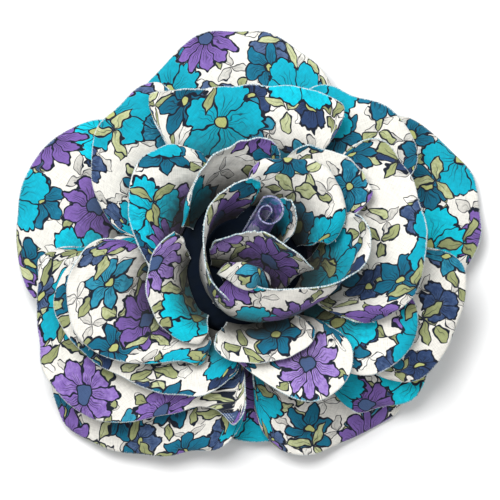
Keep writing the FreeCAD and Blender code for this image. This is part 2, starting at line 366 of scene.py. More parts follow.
def warp(radius, angle, height):
    """Add the waves and the lean of the bud, and return points in millimetres."""
    reach = np.maximum(0.0, (radius - WAVE_FROM) / WAVE_REACH)
    for count, rise, turn in WAVES:
        height = height + rise * reach**2 * np.sin(count * angle + math.radians(turn))
    lean = smooth((height - LEAN_FROM) / (LEAN_TO - LEAN_FROM))
    x = FOOT_X + radius * np.cos(angle) + LEAN_X * lean
    y = FOOT_Y + radius * np.sin(angle) + LEAN_Y * lean
    return np.stack([x, y, height], axis=-1)


def ripple(u, v, wavelength, chance):
    """Soft seeded waves over flat cloth, from about -1 to 1."""
    total = np.zeros_like(u)
    waves = 7
    for _ in range(waves):
        angle = chance.uniform(0, 2 * math.pi)
        size = wavelength * chance.uniform(0.7, 1.5)
        phase = chance.uniform(0, 2 * math.pi)
        turned = u * math.cos(angle) + v * math.sin(angle)
        total += np.sin(2 * math.pi * turned / size + phase)
    return total / math.sqrt(waves)


def petal_surface(petal, chance):
    """Lay out a petal's middle surface, one row of points for each place across it."""
    _, azimuth, half, layers, turn_up, roll, lengths = petal
    across = np.sin(math.pi / 2 * np.linspace(-1, 1, CLOTH_COLUMNS))
    left, centre, right = layers
    own_layer = centre + (right - left) / 2 * across + ((left + right) / 2 - centre) * across**2
    turned = np.radians(turn_up[0] + (turn_up[1] - turn_up[0]) * (across + 1) / 2)
    length = length_at(lengths, across)
    length += RIM_WAVER * ripple(across * half, across * 0, RIM_WAVER_LENGTH, chance)
    foot = np.radians(np.interp(own_layer, SLOPES[:, 0], SLOPES[:, 1]))
    far = np.radians(np.interp(own_layer, SLOPES[:, 0], SLOPES[:, 2]))
    steps = CLOTH_ROWS - 1
    middle = (np.arange(steps) + 0.5) / steps
    bent = np.minimum(length[:, None] * middle / BEND_LENGTH, 1.0)
    slope = foot[:, None] + (far - foot)[:, None] * bent
    slope += turned[:, None] * smooth(middle)
    slope -= math.radians(roll) * smooth((middle - ROLL_FROM) / (1 - ROLL_FROM))
    start = np.zeros((CLOTH_COLUMNS, 1))
    out = np.hstack([start, np.cumsum(np.cos(slope) * length[:, None] / steps, axis=1)])
    up = np.hstack([start, np.cumsum(np.sin(slope) * length[:, None] / steps, axis=1)])
    radius = np.interp(own_layer, FEET[:, 0], FEET[:, 1])[:, None] + out
    height = np.interp(own_layer, FEET[:, 0], FEET[:, 2])[:, None] + up
    along = np.linspace(0, 1, CLOTH_ROWS)
    width = FOOT_WIDTH + (1 - FOOT_WIDTH) * smooth(along / FULL_WIDTH_AT)
    angle = np.radians(azimuth + half * across[:, None] * width)
    return warp(radius, angle, height)


def facing(points):
    """Directions square to a grid of points, out of the front of the cloth."""
    normal = np.cross(np.gradient(points, axis=1), np.gradient(points, axis=0))
    return normal / np.linalg.norm(normal, axis=2, keepdims=True)


def flat_places(points):
    """Unroll a grid of points: distance across from its middle column, and along it."""
    across = np.linalg.norm(np.diff(points, axis=0), axis=2)
    across = np.vstack([np.zeros((1, points.shape[1])), np.cumsum(across, axis=0)])
    across -= across[points.shape[0] // 2]
    along = np.linalg.norm(np.diff(points, axis=1), axis=2)
    along = np.hstack([np.zeros((points.shape[0], 1)), np.cumsum(along, axis=1)])
    return across, along


def rim_places(columns, rows):
    """Follow the cut edge of a grid, up one side, along the rim and down the other."""
    rim = [(0, row) for row in range(rows)]
    rim += [(column, rows - 1) for column in range(1, columns)]
    rim += [(columns - 1, row) for row in range(rows - 2, -1, -1)]
    return np.array(rim)


def distance_to_rim(across, along, rim):
    """Flat distance from each point of the cloth to its nearest cut edge."""
    flat = np.stack([across, along], axis=-1)
    edge = flat[rim[:, 0], rim[:, 1]]
    apart = flat[:, :, None, :] - edge[None, None, :, :]
    return np.sqrt((apart**2).sum(axis=-1).min(axis=2))


def crumple(points, sizes, chance):
    """Add soft wrinkles and a curled rim to a smooth sheet."""
    across, along = flat_places(points)
    rim = rim_places(*points.shape[:2])
    edge = distance_to_rim(across, along, rim)
    lift = BROAD_SHARE * ripple(across, along, BROAD_WRINKLE, chance)
    lift = lift + FINE_SHARE * ripple(across, along, FINE_WRINKLE, chance)
    lift *= sizes.wrinkle_height / MM * 0.7
    curl = ripple(across, along, CURL_WAVE, chance) - CURL_BIAS
    lift += curl * sizes.rim_curl / MM * np.clip(1 - edge / CURL_REACH, 0, 1) ** 2
    raised = points + facing(points) * lift[:, :, None]
    room = FLOOR_BEND - FLOOR_GAP
    low = np.minimum(raised[:, :, 2], FLOOR_BEND)
    bent = FLOOR_GAP + room * np.exp((low - FLOOR_BEND) / room)
    raised[:, :, 2] = np.where(raised[:, :, 2] < FLOOR_BEND, bent, raised[:, :, 2])
    return raised


def new_object(name, vertices, faces):
    """Put a new mesh object into the part's collection."""
    mesh = bpy.data.meshes.new(name)
    mesh.from_pydata(vertices, [], faces)
    made = bpy.data.objects.new(name, mesh)
    collection = bpy.data.collections.get(COLLECTION)
    if collection is None:
        collection = bpy.data.collections.new(COLLECTION)
        bpy.context.scene.collection.children.link(collection)
    collection.objects.link(made)
    return made


def sheet_faces(columns, rows):
    """Faces of a closed sheet: front, back and rim."""
    number = np.arange(columns * rows).reshape(columns, rows)
    a, b = number[:-1, :-1].ravel(), number[1:, :-1].ravel()
    c, d = number[1:, 1:].ravel(), number[:-1, 1:].ravel()
    front = np.stack([a, d, c, b], axis=1)
    back = front[:, ::-1] + columns * rows
    ring = [(column, 0) for column in range(columns - 1)]
    ring += [(columns - 1, row) for row in range(rows - 1)]
    ring += [(column, rows - 1) for column in range(columns - 1, 0, -1)]
    ring += [(0, row) for row in range(rows - 1, 0, -1)]
    ring = np.array([number[place] for place in ring])
    after = np.roll(ring, -1)
    edge = np.stack([ring, after, after + columns * rows, ring + columns * rows], axis=1)
    return front, back, edge


def cloth_sheet(name, points, sizes, chance, dyed):
    """Make a closed sheet of printed cloth over a grid of points in millimetres."""
    columns, rows = points.shape[:2]
    normal = facing(points)
    half = sizes.cloth_thickness / MM / 2
    layers = np.concatenate([points + normal * half, points - normal * half])
    front, back, edge = sheet_faces(columns, rows)
    faces = np.concatenate([front, back, edge])
    made = new_object(name, (layers.reshape(-1, 3) * MM).tolist(), faces.tolist())
    across, along = flat_places(points)
    place_attributes(made.data, across, along, chance, dyed)
    mesh = made.data
    mesh.materials.append(printed_cotton())
    mesh.materials.append(cut_edge())
    numbers = np.zeros(len(faces), dtype=np.int32)
    numbers[len(front) + len(back):] = 1
    mesh.polygons.foreach_set("material_index", numbers)
    soft = np.ones(len(faces), dtype=bool)
    soft[len(front) + len(back):] = False
    mesh.polygons.foreach_set("use_smooth", soft)
    mesh.update()
    return made


def place_attributes(mesh, across, along, chance, dyed):
    """Keep each point's place on the flat cloth, its distances from the cut and the foot."""
    columns, rows = across.shape
    turn = chance.uniform(0, 2 * math.pi)
    shift_across, shift_along = chance.uniform(0, 400), chance.uniform(0, 400)
    u = across * math.cos(turn) - along * math.sin(turn) + shift_across
    v = across * math.sin(turn) + along * math.cos(turn) + shift_along
    place = np.stack([u, v, np.zeros_like(u)], axis=-1).reshape(-1, 3)
    cloth = mesh.attributes.new("cloth", "FLOAT_VECTOR", "POINT")
    cloth.data.foreach_set("vector", np.concatenate([place, place]).ravel())
    edge = distance_to_rim(across, along, rim_places(columns, rows)).ravel()
    cut = mesh.attributes.new("cut", "FLOAT", "POINT")
    cut.data.foreach_set("value", np.concatenate([edge, edge]))
    # Share along each petal from its foot, which sets the painted shade near the feet
    share = (along / along[:, -1:]).ravel()
    foot = mesh.attributes.new("foot", "FLOAT", "POINT")
    foot.data.foreach_set("value", np.concatenate([share, share]))
    tint = mesh.attributes.new("dyed", "FLOAT", "POINT")
    tint.data.foreach_set("value", np.full(2 * columns * rows, float(dyed)))


def frayed_threads(name, points, sizes, seed):
    """Scatter short threads along the cut edge of a sheet, as a plain mesh."""
    rim = rim_places(*points.shape[:2])
    bare = points.shape[1] // BARE_FOOT_SHARE
    rim = rim[bare: len(rim) - bare]
    line = points[rim[:, 0], rim[:, 1]]
    normal = facing(points)[rim[:, 0], rim[:, 1]]
    outward = np.cross(np.gradient(line, axis=0), normal)
    length = np.linalg.norm(outward, axis=1, keepdims=True)
    outward = -outward / np.maximum(length, 1e-9)
    line = line - outward * THREAD_INSET
    edges = [(index, index + 1) for index in range(len(line) - 1)]
    mesh = bpy.data.meshes.new(name)
    mesh.from_pydata((line * MM).tolist(), edges, [])
    direction = mesh.attributes.new("outward", "FLOAT_VECTOR", "POINT")
    direction.data.foreach_set("vector", outward.ravel())
    guide = bpy.data.objects.new(name + "_guide", mesh)
    bpy.context.scene.collection.objects.link(guide)
    modifier = guide.modifiers.new("Frayed threads", "NODES")
    modifier.node_group = thread_tree()
    values = {
        "Spacing": sizes.thread_spacing,
        "Length": sizes.thread_length,
        "Radius": sizes.thread_radius,
        "Seed": seed,
    }
    for item in modifier.node_group.interface.items_tree:
        if item.item_type == "SOCKET" and item.in_out == "INPUT" and item.name in values:
            modifier[item.identifier] = values[item.name]
    modifier.node_group.interface_update(bpy.context)
    evaluated = guide.evaluated_get(bpy.context.evaluated_depsgraph_get())
    plain = bpy.data.meshes.new_from_object(evaluated)
    plain.name = name
    bpy.data.objects.remove(guide)
    bpy.data.meshes.remove(mesh)
    made = bpy.data.objects.new(name, plain)
    bpy.data.collections[COLLECTION].objects.link(made)
    return made


class Wiring:
    """Adds nodes to a tree and links or sets their inputs."""

    def __init__(self, tree):
        self.tree = tree

    def node(self, kind, inputs=None, **settings):
        """Add one node, with settings as its properties and inputs by name or number."""
        made = self.tree.nodes.new(kind)
        for key, value in settings.items():
            setattr(made, key, value)
        for key, value in (inputs or {}).items():
            self.feed(made.inputs[key], value)
        return made

    def feed(self, socket, value):
        """Link a socket, or set its own value."""
        if isinstance(value, bpy.types.NodeSocket):
            self.tree.links.new(value, socket)
        else:
            socket.default_value = value

    def math(self, operation, *values, clamp=False):
        """Work out one number."""
        made = self.node("ShaderNodeMath", dict(enumerate(values)), operation=operation)
        made.use_clamp = clamp
        return made.outputs[0]

    def vector(self, operation, *values):
        """Work out one vector."""
        made = self.node("ShaderNodeVectorMath", dict(enumerate(values)), operation=operation)
        return made.outputs[0]

    def step(self, value, low, high):
        """Rise from 0 at low to 1 at high."""
        made = self.node("ShaderNodeMapRange", interpolation_type="SMOOTHSTEP")
        for key, number in (("Value", value), ("From Min", low), ("From Max", high)):
            self.feed(made.inputs[key], number)
        return made.outputs[0]

    def below(self, value, level, blur=0.05):
        """1 where the value is under the level, with a soft edge."""
        over = self.math("SUBTRACT", level, value)
        return self.math("MULTIPLY_ADD", over, 1 / blur, 0.5, clamp=True)

    def mix(self, share, first, second):
        """Mix two colours."""
        made = self.node("ShaderNodeMix", {0: share, 6: first, 7: second}, data_type="RGBA")
        return made.outputs[2]

    def noise(self, place, scale, detail=2.0, roughness=0.5):
        """Cloudy noise over the flat cloth."""
        made = self.node(
            "ShaderNodeTexNoise",
            {"Vector": place, "Scale": scale, "Detail": detail, "Roughness": roughness},
            noise_dimensions="2D",
        )
        return made

    def attribute(self, name):
        """Read an attribute of the mesh."""
        return self.node("ShaderNodeAttribute", attribute_name=name)


def socket(tree, name, kind, where="INPUT", default=None):
    """Add a named socket to a node group."""
    made = tree.interface.new_socket(name=name, in_out=where, socket_type=kind)
    if default is not None:
        made.default_value = default
    return made


def new_material(name):
    """Make a material, and give it back with its wiring and its shader node."""
    made = bpy.data.materials.new(name)
    made.use_nodes = True
    return made, Wiring(made.node_tree), made.node_tree.nodes["Principled BSDF"]


def motif_group():
    """A drawn blossom, star or leaf pair in each cell of the cloth, of any petal count."""
    found = bpy.data.node_groups.get("Printed motif")
    if found:
        return found
    tree = bpy.data.node_groups.new("Printed motif", "ShaderNodeTree")
    socket(tree, "Place", "NodeSocketVector")
    for name in MOTIF_NUMBERS:
        socket(tree, name, "NodeSocketFloat")
    for name in ("Fill", "Drawn line", "Halo", "Centre", "Tone", "Chance"):
        socket(tree, name, "NodeSocketFloat", "OUTPUT")
    w = Wiring(tree)
    given = w.node("NodeGroupInput").outputs
    shift = w.node("ShaderNodeCombineXYZ", {0: given["Shift"], 1: given["Shift"]}).outputs[0]
    turned = w.node(
        "ShaderNodeVectorRotate",
        {"Vector": w.vector("ADD", given["Place"], shift), "Angle": given["Turn"]},
        rotation_type="Z_AXIS",
    ).outputs[0]
    cell = w.node(
        "ShaderNodeTexVoronoi",
        {
            "Vector": turned,
            "Scale": w.math("DIVIDE", 1.0, given["Cell"]),
            "Randomness": given["Jitter"],
        },
        voronoi_dimensions="2D",
    )
    chance = w.node("ShaderNodeSeparateColor", {0: cell.outputs["Color"]}).outputs
    local = w.node(
        "ShaderNodeVectorRotate",
        {
            "Vector": w.vector("SUBTRACT", turned, cell.outputs["Position"]),
            "Angle": w.math("MULTIPLY", chance[0], 2 * math.pi),
        },
        rotation_type="Z_AXIS",
    ).outputs[0]
    part = w.node("ShaderNodeSeparateXYZ", {0: local}).outputs
    radius = w.math("SQRT", w.math("ADD", w.math("POWER", part[0], 2.0),
                                   w.math("POWER", part[1], 2.0)))
    angle = w.math("ARCTAN2", part[1], part[0])
    share = w.math("DIVIDE", 2 * math.pi, given["Count"])
    turns = w.math("ADD", w.math("DIVIDE", angle, share), 0.5)
    own = w.math("MULTIPLY", w.math("SUBTRACT", w.math("FRACT", turns), 0.5), share)
    along = w.math("MULTIPLY", radius, w.math("COSINE", own))
    aside = w.math("ABSOLUTE", w.math("MULTIPLY", radius, w.math("SINE", own)))
    x = w.math("DIVIDE", w.math("SUBTRACT", along, given["Reach"]), given["Half length"])
    y = w.math("DIVIDE", aside, given["Half width"])
    x_square = w.math("MULTIPLY", x, x)
    round_edge = w.math("SQRT", w.math("ADD", x_square, w.math("MULTIPLY", y, y)))
    lens_edge = w.math("ADD", y, x_square)
    blend = w.node("ShaderNodeMix", {0: given["Pointed"], 2: round_edge, 3: lens_edge})
    away = w.math("SUBTRACT", blend.outputs[0], 1.0)
    waves = w.math("SINE", w.math("MULTIPLY", w.math("MULTIPLY", angle, given["Count"]), 2.5))
    waves = w.math("MULTIPLY", w.math("ABSOLUTE", waves), given["Scallop"])
    away = w.math("SUBTRACT", w.math("MULTIPLY", away, given["Half width"]), waves)
    present = w.math("LESS_THAN", chance[1], given["Share"])
    inside = w.math("MULTIPLY", w.below(away, 0.0), present)
    centre = w.math("MULTIPLY", w.below(radius, given["Heart"]), present)
    half_line = w.math("MULTIPLY", given["Line"], 0.58)
    rim_line = w.below(w.math("ABSOLUTE", away), half_line)
    seam = w.math("SUBTRACT", w.math("MULTIPLY", share, 0.5), w.math("ABSOLUTE", own))
    seam = w.math("MULTIPLY", radius, w.math("SINE", seam))
    seam_line = w.math("MULTIPLY", w.below(seam, w.math("MULTIPLY", half_line, 0.8)), inside)
    slant = w.math("MULTIPLY", along, w.math("TANGENT", w.math("DIVIDE", share, 5.0)))
    aside_vein = w.math("ABSOLUTE", w.math("SUBTRACT", aside, slant))
    thin = w.math("MULTIPLY", half_line, 0.4)
    vein = w.math("MAXIMUM", w.below(aside, thin), w.below(aside_vein, thin))
    vein = w.math("MULTIPLY", vein, w.math("MULTIPLY", inside, w.below(x, 0.1, 0.6)))
    vein = w.math("MULTIPLY", vein, 0.7)
    outside_heart = w.math("SUBTRACT", 1.0, centre)
    lines = w.math("MAXIMUM", w.math("MAXIMUM", rim_line, seam_line), vein)
    heart_line = w.below(w.math("ABSOLUTE", w.math("SUBTRACT", radius, given["Heart"])), half_line)
    heart_line = w.math("MULTIPLY", heart_line, w.math("GREATER_THAN", given["Heart"], 0.01))
    lines = w.math("MAXIMUM", w.math("MULTIPLY", lines, outside_heart), heart_line)
    reach = w.math("ADD", given["Reach"], given["Half length"])
    result = {
        "Fill": inside,
        "Drawn line": w.math("MULTIPLY", lines, present),
        "Halo": w.math("MULTIPLY", w.below(away, 0.16, 0.1), present),
        "Centre": centre,
        "Tone": w.math("DIVIDE", radius, reach, clamp=True),
        "Chance": chance[2],
    }
    end = w.node("NodeGroupOutput")
    for name, value in result.items():
        w.feed(end.inputs[name], value)
    return tree


def scaled_colour(colour, share):
    """Darken a colour."""
    return tuple(share * c for c in colour[:3]) + (1.0,)


def wandering(w, place):
    """Shift places a little so that the drawn lines look drawn by hand."""
    half = (0.5, 0.5, 0.5)
    wander = w.noise(place, 0.28, 1.0).outputs["Color"]
    fine = w.noise(place, 0.8, 0.0).outputs["Color"]
    moved = w.vector("MULTIPLY", w.vector("SUBTRACT", wander, half), (2.4, 2.4, 0.0))
    shaken = w.vector("MULTIPLY", w.vector("SUBTRACT", fine, half), (0.5, 0.5, 0.0))
    return w.vector("ADD", place, w.vector("ADD", moved, shaken))


def print_motif(w, motif, drawn, mottle, colour):
    """Print one motif over the colour below it."""
    colours = bpy.context.scene.flower_pin_colours
    group = w.node("ShaderNodeGroup", node_tree=motif_group())
    w.feed(group.inputs["Place"], drawn)
    for name, value in zip(MOTIF_NUMBERS, motif[1:]):
        w.feed(group.inputs[name], float(value))
    out = group.outputs
    base = tuple(getattr(colours, motif[0]))
    light = tuple(min(1.0, 0.5 * c + 0.5 * c**0.55) for c in base[:3]) + (1.0,)
    tone = w.math("MULTIPLY_ADD", out["Tone"], 0.5, w.math("MULTIPLY", mottle, 0.8))
    tone = w.math("ADD", tone, w.math("MULTIPLY_ADD", out["Chance"], 0.7, -0.55), clamp=True)
    fill = w.mix(tone, scaled_colour(base, 0.62), base)
    bright = w.step(w.math("ADD", out["Chance"], mottle), 1.0, 1.6)
    fill = w.mix(bright, fill, light)
    colour = w.mix(out["Halo"], colour, tuple(colours.ground))
    colour = w.mix(out["Fill"], colour, fill)
    heart = PURPLE_HEART if motif[0] == "purple" else HEART
    colour = w.mix(out["Centre"], colour, heart)
    return w.mix(out["Drawn line"], colour, tuple(colours.outline))


def thread_streaks(w, place):
    """Faint uneven threads both ways across the cloth."""
    total = None
    for stretch in ((5.0, 0.5, 1.0), (0.5, 5.0, 1.0)):
        streak = w.noise(w.vector("MULTIPLY", place, stretch), 1.0, 2.0).outputs["Fac"]
        total = streak if total is None else w.math("ADD", total, streak)
    return total


def shade_dye_and_wear(w, place, mottle, colour):
    """Paint shade on the cloth towards its foot for the crevices between petals, dye the bud's
    strip and wear the cut edges.
    """
    colours = bpy.context.scene.flower_pin_colours
    # Painted shade: the cloth turns near black towards each petal's foot, where the crevices
    # between petals lie in shade
    foot_shade = w.math("MULTIPLY_ADD", mottle, 0.15, w.attribute("foot").outputs["Fac"])
    foot_shade = w.math("SUBTRACT", 1.0, w.step(foot_shade, 0.2, 0.8))
    colour = w.mix(w.math("MULTIPLY", foot_shade, 0.92), colour, PAINTED_FOOT_SHADE)
    dyed = w.mix(w.step(mottle, 0.4, 0.75), tuple(colours.navy), tuple(colours.purple))
    colour = w.mix(w.attribute("dyed").outputs["Fac"], colour, dyed)
    cut = w.attribute("cut").outputs["Fac"]
    ragged = w.math("MULTIPLY_ADD", w.noise(place, 3.0, 2.0).outputs["Fac"], 0.6, -0.16)
    worn = w.below(cut, ragged, 0.1)
    return w.mix(w.math("MULTIPLY", worn, 0.6), colour, WORN)


def weave_bump(w, place, streaks):
    """Plain weave with uneven threads."""
    thread = 2 * math.pi / THREAD_PITCH
    part = w.node("ShaderNodeSeparateXYZ", {0: place}).outputs
    warp_thread = w.math("SINE", w.math("MULTIPLY", part[0], thread))
    weft_thread = w.math("SINE", w.math("MULTIPLY", part[1], thread))
    weave = w.math("MULTIPLY", warp_thread, weft_thread)
    weave = w.math("MULTIPLY_ADD", streaks, 1.5, weave)
    bump = w.node("ShaderNodeBump", {"Strength": 0.35, "Distance": 0.00004, "Height": weave})
    return bump.outputs[0]


def printed_cotton():
    """Cotton lawn with a made-up print of blossoms, stars and leaves."""
    found = bpy.data.materials.get("floral_lawn")
    if found:
        return found
    made, w, shader = new_material("floral_lawn")
    place = w.attribute("cloth").outputs["Vector"]
    drawn = wandering(w, place)
    mottle = w.noise(place, 0.9, 3.0, 0.6).outputs["Fac"]
    ground = tuple(bpy.context.scene.flower_pin_colours.ground)
    colour = w.mix(mottle, scaled_colour(ground, 0.93), ground)
    for motif in MOTIFS:
        colour = print_motif(w, motif, drawn, mottle, colour)
    streaks = thread_streaks(w, place)
    value = w.math("MULTIPLY_ADD", streaks, 0.35, 0.65)
    colour = w.node("ShaderNodeHueSaturation", {"Value": value, "Color": colour}).outputs[0]
    w.feed(shader.inputs["Base Color"], shade_dye_and_wear(w, place, mottle, colour))
    w.feed(shader.inputs["Roughness"], w.math("MULTIPLY_ADD", mottle, 0.15, 0.74))
    shader.inputs["Sheen Weight"].default_value = 0.08
    shader.inputs["Sheen Roughness"].default_value = 0.4
    shader.inputs["Specular IOR Level"].default_value = 0.25
    w.feed(shader.inputs["Normal"], weave_bump(w, place, streaks))
    return made


def cut_edge():
    """Raw cut edge, where the white middle of the threads shows."""
    found = bpy.data.materials.get("cut_edge")
    if found:
        return found
    made, w, shader = new_material("cut_edge")
    place = w.attribute("cloth").outputs["Vector"]
    flecks = w.noise(place, 5.0, 2.0).outputs["Fac"]
    share = w.step(flecks, 0.42, 0.62)
    colour = w.mix(share, (0.66, 0.72, 0.72, 1.0), (0.12, 0.25, 0.31, 1.0))
    violet = w.mix(share, (0.2, 0.16, 0.42, 1.0), (0.04, 0.05, 0.14, 1.0))
    colour = w.mix(w.attribute("dyed").outputs["Fac"], colour, violet)
    w.feed(shader.inputs["Base Color"], colour)
    shader.inputs["Roughness"].default_value = 0.9
    bump = w.node("ShaderNodeBump", {"Strength": 0.6, "Distance": 0.00005, "Height": flecks})
    w.feed(shader.inputs["Normal"], bump.outputs[0])
    return made


def thread_material():
    """Loose cotton threads, mostly white."""
    found = bpy.data.materials.get("loose_threads")
    if found:
        return found
    made, w, shader = new_material("loose_threads")
    place = w.node("ShaderNodeTexCoord").outputs["Object"]
    cloud = w.node("ShaderNodeTexNoise", {"Vector": place, "Scale": 900.0}).outputs["Fac"]
    share = w.step(cloud, 0.52, 0.66)
    colour = w.mix(share, (0.86, 0.88, 0.86, 1.0), (0.2, 0.45, 0.55, 1.0))
    w.feed(shader.inputs["Base Color"], colour)
    shader.inputs["Roughness"].default_value = 0.9
    return made


def random_value(w, low, high, seed):
    """Draw a number, or a vector between two corners, for each thread."""
    kind, first = ("FLOAT_VECTOR", 0) if isinstance(low, tuple) else ("FLOAT", 2)
    made = w.node("FunctionNodeRandomValue", data_type=kind)
    w.feed(made.inputs[first], low)
    w.feed(made.inputs[first + 1], high)
    w.feed(made.inputs["Seed"], seed)
    return made.outputs[first // 2]


def thread_tree():
    """Geometry nodes that set short bent threads along a line."""
    found = bpy.data.node_groups.get("Frayed threads")
    if found:
        return found
    tree = bpy.data.node_groups.new("Frayed threads", "GeometryNodeTree")
    tree.is_modifier = True
    socket(tree, "Geometry", "NodeSocketGeometry")
    socket(tree, "Spacing", "NodeSocketFloat", default=0.0003)
    socket(tree, "Length", "NodeSocketFloat", default=0.0006)
    socket(tree, "Radius", "NodeSocketFloat", default=0.00004)
    socket(tree, "Seed", "NodeSocketInt", default=1)
    socket(tree, "Geometry", "NodeSocketGeometry", "OUTPUT")
    w = Wiring(tree)
    given = w.node("NodeGroupInput").outputs
    line = w.node("GeometryNodeMeshToCurve", {"Mesh": given["Geometry"]}).outputs[0]
    spaced = w.node(
        "GeometryNodeResampleCurve", {"Curve": line, "Length": given["Spacing"]}, mode="LENGTH"
    ).outputs[0]
    bend = w.node("GeometryNodeCurvePrimitiveBezierSegment", {"Resolution": 3})
    w.feed(bend.inputs["Start"], (0.0, 0.0, 0.0))
    w.feed(bend.inputs["Start Handle"], (0.0, 0.0, 0.4))
    w.feed(bend.inputs["End Handle"], (0.1, 0.0, 0.8))
    w.feed(bend.inputs["End"], (0.45, 0.0, 0.9))
    size = w.node("ShaderNodeCombineXYZ",
                  {0: given["Length"], 1: given["Length"], 2: given["Length"]}).outputs[0]
    scaled = w.node("GeometryNodeTransform", {"Geometry": bend.outputs[0], "Scale": size})
    profile = w.node(
        "GeometryNodeCurvePrimitiveCircle", {"Resolution": 3, "Radius": given["Radius"]}
    ).outputs[0]
    thread = w.node(
        "GeometryNodeCurveToMesh",
        {"Curve": scaled.outputs[0], "Profile Curve": profile, "Fill Caps": True},
    ).outputs[0]
    outward = w.node("GeometryNodeInputNamedAttribute", data_type="FLOAT_VECTOR")
    w.feed(outward.inputs["Name"], "outward")
    scatter = random_value(w, (-0.9, -0.9, -0.9), (0.9, 0.9, 0.9), given["Seed"])
    way = w.vector("ADD", outward.outputs[0], scatter)
    aligned = w.node("FunctionNodeAlignRotationToVector", {"Vector": way}, axis="Z").outputs[0]
    twist = random_value(w, 0.0, 2 * math.pi, w.math("ADD", given["Seed"], 7.0))
    about = w.node("FunctionNodeAxisAngleToRotation", {"Angle": twist})
    turned = w.node(
        "FunctionNodeRotateRotation",
        {"Rotation": aligned, "Rotate By": about.outputs[0]},
        rotation_space="LOCAL",
    ).outputs[0]
    grow = random_value(w, 0.3, 1.0, w.math("ADD", given["Seed"], 13.0))
    placed = w.node(
        "GeometryNodeInstanceOnPoints",
        {"Points": spaced, "Instance": thread, "Rotation": turned, "Scale": grow},
    ).outputs[0]
    real = w.node("GeometryNodeRealizeInstances", {"Geometry": placed}).outputs[0]
    finished = w.node("GeometryNodeSetMaterial", {"Geometry": real, "Material": thread_material()})
    end = w.node("NodeGroupOutput")
    w.feed(end.inputs["Geometry"], finished.outputs[0])
    return tree


def dress_sheet(node, points, dyed=0.0):
    """Replace a cloth node by a printed sheet with frayed edges, and say how it is held."""
    sizes = bpy.context.scene.flower_pin_sizes
    seed = sum(ord(letter) * (index + 1) for index, letter in enumerate(node))
    chance = random.Random(seed)
    crumpled = crumple(points, sizes, chance)
    name = node.replace("petal", "cloth") if node.startswith("petal") else node + "_cloth"
    made = cloth_sheet(name, crumpled, sizes, chance, dyed)
    threads = frayed_threads(name + "_threads", crumpled, sizes, seed)
    across, along = flat_places(crumpled)
    for piece in (made, threads):
        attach(piece, BODY)
    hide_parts(node)
    return made


def dress_petals(petals):
    """Make every petal of a group."""
    for petal in petals:
        seed = sum(ord(letter) for letter in petal[0])
        surface = petal_surface(petal, random.Random(seed))
        dress_sheet(petal[0], surface)


class FLOWERPIN_OT_outer_petals(bpy.types.Operator):
    """Make the nine large petals round the outside"""

    bl_idname = "flower_pin.outer_petals"
    bl_label = "Outer petals"

    def execute(self, context):
        """Make the pieces."""
        dress_petals(OUTER_PETALS)
        return {"FINISHED"}


class FLOWERPIN_OT_middle_petals(bpy.types.Operator):
    """Make the seven petals between the outside and the cup"""

    bl_idname = "flower_pin.middle_petals"
    bl_label = "Middle petals"

    def execute(self, context):
        """Make the pieces."""
        dress_petals(MIDDLE_PETALS)
        return {"FINISHED"}


class FLOWERPIN_OT_cup_petals(bpy.types.Operator):
    """Make the five petals that cup the bud"""

    bl_idname = "flower_pin.cup_petals"
    bl_label = "Cup petals"

    def execute(self, context):
        """Make the pieces."""
        dress_petals(CUP_PETALS)
        return {"FINISHED"}


class FLOWERPIN_OT_bud_petals(bpy.types.Operator):
    """Make the seven petals wrapped round the bud"""

    bl_idname = "flower_pin.bud_petals"
    bl_label = "Bud petals"

    def execute(self, context):
        """Make the pieces."""
        dress_petals(BUD_PETALS)
        return {"FINISHED"}


class FLOWERPIN_OT_bud_scroll(bpy.types.Operator):
    """Make the rolled strip in the middle of the bud"""

    bl_idname = "flower_pin.bud_scroll"
    bl_label = "Bud scroll"

    def execute(self, context):
        """Make the piece."""
        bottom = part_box("flower_core")[1][2] / MM + BUD_FOOT_GAP
        turn = np.linspace(0, SCROLL_TURNS, CLOTH_COLUMNS)[:, None]
        height = bottom + np.linspace(0, SCROLL_HEIGHT, SCROLL_ROWS)[None, :]
        radius = SCROLL_INNER + SCROLL_PITCH * turn + 0 * height
        points = warp(radius, 2 * math.pi * turn + 0 * height, height + 0 * turn)
        dress_sheet("bud_scroll", points, dyed=SCROLL_DYE)
        return {"FINISHED"}


def core_outline():
    """Follow the petals' feet a gap inside them, from the top down to the felt."""
    layers = np.linspace(FIRST_LAYER, LAST_LAYER, CORE_RINGS)
    slope = np.radians(np.interp(layers, SLOPES[:, 0], SLOPES[:, 1]))
    gap = BUD_FOOT_GAP - (BUD_FOOT_GAP - GAP) * smooth(layers / LAST_BUD_LAYER)
    radius = np.interp(layers, FEET[:, 0], FEET[:, 1]) - gap * np.cos(slope)
    height = np.interp(layers, FEET[:, 0], FEET[:, 2]) - gap * np.sin(slope)
    return list(zip(radius, height)) + [(radius[-1], FELT_TOP + GAP)]


def ring_solid(name, rings, turn, leaning):
    """Close rings of points, the highest first, into one solid."""
    sides = len(turn)
    points = []
    for radius, height in rings:
        if leaning:
            ring = warp(radius, turn, height)
        else:
            x = FOOT_X + radius * np.cos(turn)
            y = FOOT_Y + radius * np.sin(turn)
            ring = np.stack([x, y, height], axis=-1)
        points.append(ring)
    grid = np.array(points)
    top, bottom = grid[0].mean(axis=0), grid[-1].mean(axis=0)
    vertices = np.vstack([grid.reshape(-1, 3), top, bottom])
    faces = []
    last = (len(rings) - 1) * sides
    for side in range(sides):
        after = (side + 1) % sides
        faces.append((len(vertices) - 2, side, after))
        faces.append((len(vertices) - 1, last + after, last + side))
        for row in range(len(rings) - 1):
            a, b = row * sides + side, row * sides + after
            faces.append((a, a + sides, b + sides, b))
    return new_object(name, (vertices * MM).tolist(), faces)


